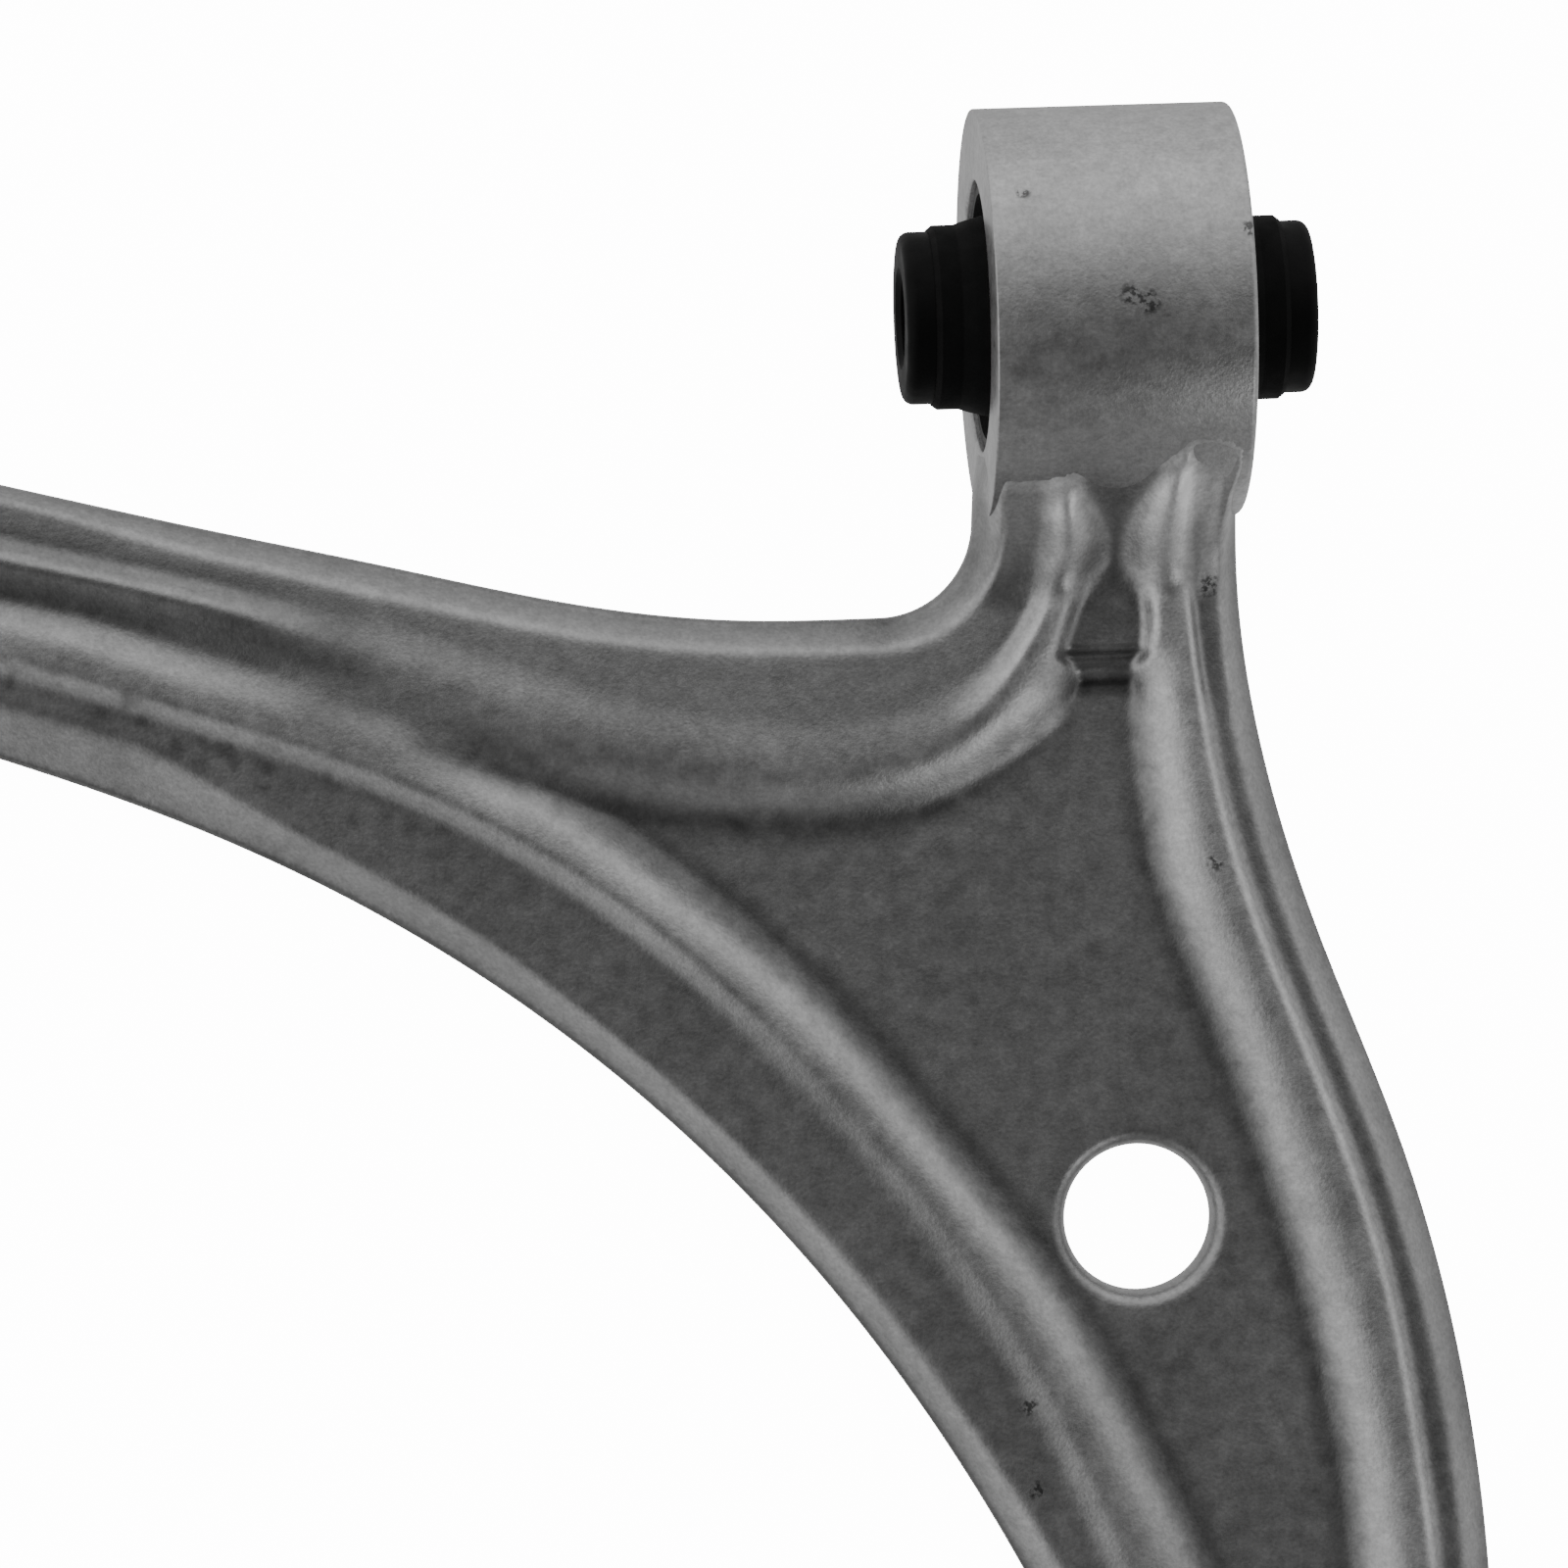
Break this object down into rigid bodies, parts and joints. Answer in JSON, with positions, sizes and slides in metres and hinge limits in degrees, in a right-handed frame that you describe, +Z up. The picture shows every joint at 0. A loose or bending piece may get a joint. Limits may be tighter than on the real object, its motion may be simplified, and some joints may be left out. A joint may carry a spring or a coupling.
{
  "type": "control arm",
  "caption": "Forged L-shaped lower control arm with ribs and a lightening hole, a plain front bush, a fluid-filled rear bush and a pressed-in ball joint.",
  "frame": {"origin": "centre of the front bush's bolt bore, in the forging's parting plane", "axes": "+X along the front bush's bore, towards the front of the car; +Y inboard, away from the ball joint; +Z up, the way the ball stud points"},
  "size_m": [0.365, 0.3826, 0.1085],
  "materials": {
    "forged_aluminium": "shot-blasted forging skin, satin",
    "sleeve_steel": "drawn and phosphated",
    "bush_rubber": "matte",
    "dark_steel": "black phosphate",
    "cage_plastic": "glass-filled nylon, moulded",
    "channel_plastic": "natural nylon, moulded",
    "stop_plastic": "glass-filled nylon, moulded",
    "core_aluminium": "extruded, turned ends",
    "cartridge_steel": "turned, grey zinc flake coating",
    "spring_steel": "oiled spring steel",
    "race_plastic": "natural acetal",
    "preload_rubber": "matte",
    "stud_steel": "ground",
    "boot_rubber": "satin",
    "zinc_steel": "bright zinc"
  },
  "bodies": {
    "arm": {"arm_forging": "forged_aluminium", "front_bush_outer_sleeve": "sleeve_steel", "front_bush_rubber": "bush_rubber", "rear_bush_outer_can": "sleeve_steel", "rear_bush_cage": "cage_plastic", "rear_bush_channel_ring": "channel_plastic", "rear_bush_rubber": "bush_rubber", "ball_joint_housing": "cartridge_steel", "ball_joint_circlip": "spring_steel", "ball_race_cup": "race_plastic", "ball_preload_disc": "preload_rubber", "ball_joint_cover_plate": "cartridge_steel", "boot_housing_ring": "spring_steel"},
    "front_sleeve": {"front_bush_inner_sleeve": "dark_steel"},
    "rear_core": {"rear_bush_core": "core_aluminium", "rear_bush_travel_stop": "stop_plastic"},
    "boot": {"dust_boot": "boot_rubber"},
    "boot_neck": {"boot_stud_ring": "spring_steel"},
    "stud": {"ball_stud": "stud_steel", "castle_nut": "zinc_steel", "cotter_pin": "zinc_steel"}
  },
  "joints": [
    {"name": "front_bush_twist", "type": "hinge", "parent": "arm", "child": "front_sleeve", "pos_m": [0, 0, 0], "axis": [1, 0, 0], "range_deg": [-20, 20], "stiffness_Nm_per_rad": 80},
    {"name": "rear_bush_tilt", "type": "hinge", "parent": "arm", "child": "rear_core", "pos_m": [-0.262, -0.019, 0], "axis": [1, 0, 0], "range_deg": [-10, 10], "stiffness_Nm_per_rad": 150, "deforming": ["rear_bush_rubber"]},
    {"name": "ball_tilt_x", "type": "hinge", "parent": "arm", "child": "boot", "pos_m": [0.034, -0.322, -0.009], "axis": [1, 0, 0], "range_deg": [-20, 20], "deforming": ["dust_boot"]},
    {"name": "ball_tilt_y", "type": "hinge", "parent": "boot", "child": "boot_neck", "pos_m": [0.034, -0.322, -0.009], "axis": [0, 1, 0], "range_deg": [-12, 12], "deforming": ["dust_boot"]},
    {"name": "stud_spin", "type": "hinge", "parent": "boot_neck", "child": "stud", "pos_m": [0.034, -0.322, -0.009], "axis": [0, 0, 1], "continuous": true}
  ]
}
